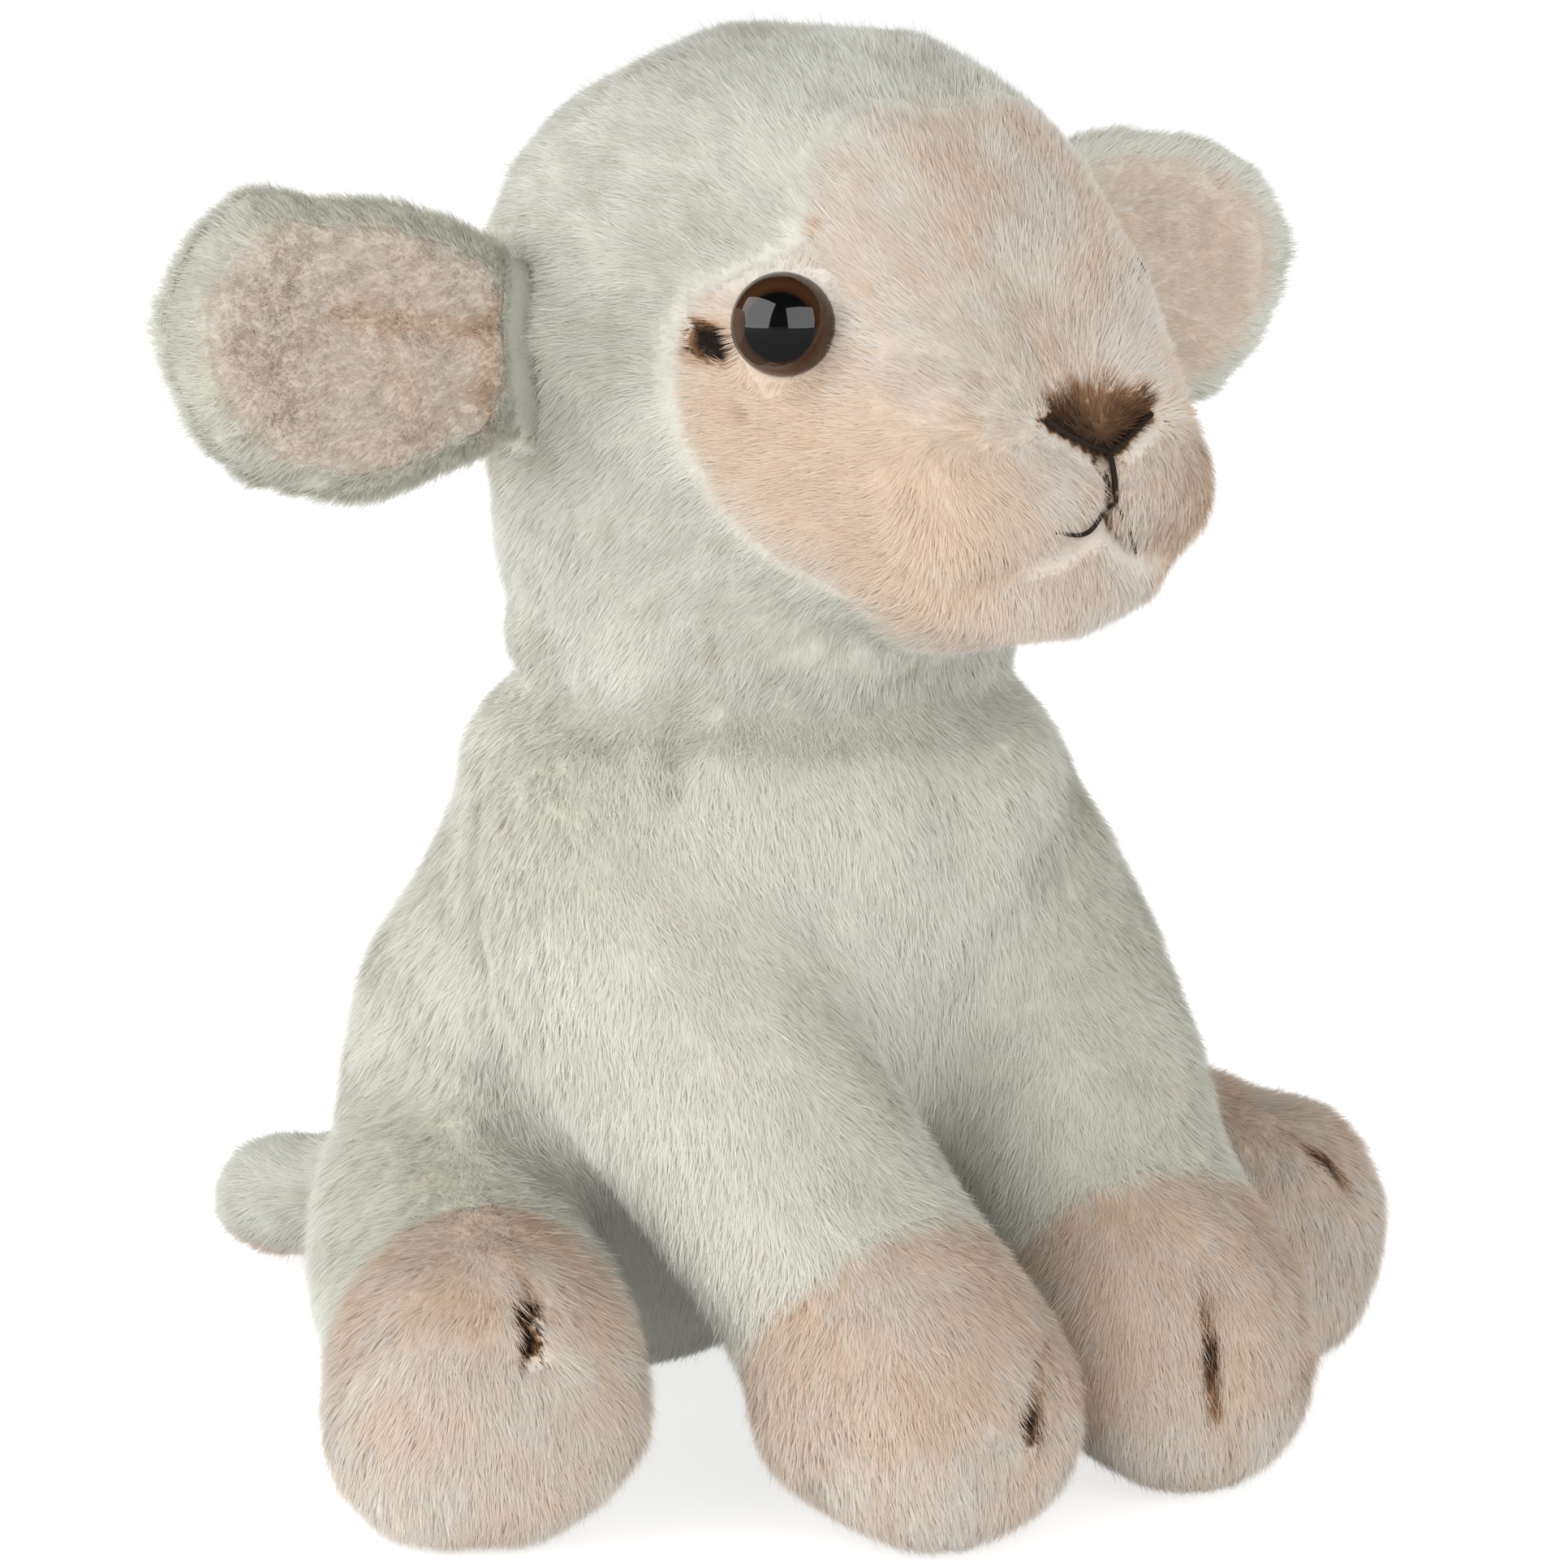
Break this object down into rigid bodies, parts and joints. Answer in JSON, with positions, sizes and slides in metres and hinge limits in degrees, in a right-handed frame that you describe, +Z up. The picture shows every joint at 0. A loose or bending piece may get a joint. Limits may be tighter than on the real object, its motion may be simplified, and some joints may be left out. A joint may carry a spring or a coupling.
{
  "type": "stuffed animal",
  "caption": "Seated plush lamb with cream fleece, pale pink face and feet, brown plastic eyes, ears that stand out sideways, soft limbs and a tail.",
  "frame": {"origin": "on the floor, below the middle of the toy", "axes": "+Z up; -Y the way the lamb faces; +X its left side"},
  "size_m": [0.2202, 0.227, 0.2127],
  "materials": {
    "cream_plush": "short silky pile, combed",
    "pink_plush": "short silky pile, combed",
    "eye_plastic": "polished moulded dome",
    "washer_plastic": "as moulded",
    "polyester_fibre": "loose fibre filling",
    "pellet_bag_cloth": "thin woven bag over plastic pellets"
  },
  "bodies": {
    "body": {"body_cover": "cream_plush", "body_stuffing": "polyester_fibre", "pellet_bag": "pellet_bag_cloth"},
    "neck": {"neck_seam_ring": "cream_plush"},
    "head": {"head_hood": "cream_plush", "face_panel": "pink_plush", "head_stuffing": "polyester_fibre", "eye_right": "eye_plastic", "eye_left": "eye_plastic", "eye_washer_right": "washer_plastic", "eye_washer_left": "washer_plastic"},
    "ear_right": {"ear_right_back": "cream_plush", "ear_right_lining": "pink_plush"},
    "ear_left": {"ear_left_back": "cream_plush", "ear_left_lining": "pink_plush"},
    "front_leg_right": {"front_right_sleeve": "cream_plush", "front_right_foot": "pink_plush", "front_right_sole": "pink_plush", "front_right_stuffing": "polyester_fibre"},
    "front_leg_left": {"front_left_sleeve": "cream_plush", "front_left_foot": "pink_plush", "front_left_sole": "pink_plush", "front_left_stuffing": "polyester_fibre"},
    "hind_leg_right": {"hind_right_sleeve": "cream_plush", "hind_right_foot": "pink_plush", "hind_right_sole": "pink_plush", "hind_right_stuffing": "polyester_fibre"},
    "hind_leg_left": {"hind_left_sleeve": "cream_plush", "hind_left_foot": "pink_plush", "hind_left_sole": "pink_plush", "hind_left_stuffing": "polyester_fibre"},
    "tail": {"tail_top": "cream_plush", "tail_underside": "pink_plush", "tail_stuffing": "polyester_fibre"}
  },
  "joints": [
    {"name": "neck_nod", "type": "hinge", "parent": "body", "child": "neck", "pos_m": [0, -0.02253, 0.106], "axis": [1, 0, 0], "range_deg": [-14, 8], "stiffness_Nm_per_rad": 2},
    {"name": "head_turn", "type": "hinge", "parent": "neck", "child": "head", "pos_m": [0, -0.02253, 0.106], "axis": [0, 0, 1], "range_deg": [-22, 22], "stiffness_Nm_per_rad": 0.4},
    {"name": "ear_right_swing", "type": "hinge", "parent": "head", "child": "ear_right", "pos_m": [-0.0365, -0.00953, 0.165], "axis": [0, 0, 1], "range_deg": [-22, 22], "stiffness_Nm_per_rad": 0.02},
    {"name": "ear_left_swing", "type": "hinge", "parent": "head", "child": "ear_left", "pos_m": [0.0365, -0.00953, 0.165], "axis": [0, 0, 1], "range_deg": [-22, 22], "stiffness_Nm_per_rad": 0.02},
    {"name": "front_leg_right_swing", "type": "hinge", "parent": "body", "child": "front_leg_right", "pos_m": [-0.034, -0.02953, 0.082], "axis": [1, 0, 0], "range_deg": [-16, 8], "stiffness_Nm_per_rad": 0.5},
    {"name": "front_leg_left_swing", "type": "hinge", "parent": "body", "child": "front_leg_left", "pos_m": [0.034, -0.02953, 0.082], "axis": [1, 0, 0], "range_deg": [-16, 8], "stiffness_Nm_per_rad": 0.5},
    {"name": "hind_leg_right_swing", "type": "hinge", "parent": "body", "child": "hind_leg_right", "pos_m": [-0.043, 0.00447, 0.032], "axis": [1, 0, 0], "range_deg": [-14, 5], "stiffness_Nm_per_rad": 0.5},
    {"name": "hind_leg_left_swing", "type": "hinge", "parent": "body", "child": "hind_leg_left", "pos_m": [0.043, 0.00447, 0.032], "axis": [1, 0, 0], "range_deg": [-14, 5], "stiffness_Nm_per_rad": 0.5},
    {"name": "tail_wag", "type": "hinge", "parent": "body", "child": "tail", "pos_m": [-0.001, 0.04347, 0.032], "axis": [0, 0, 1], "range_deg": [-22, 22], "stiffness_Nm_per_rad": 0.05}
  ]
}
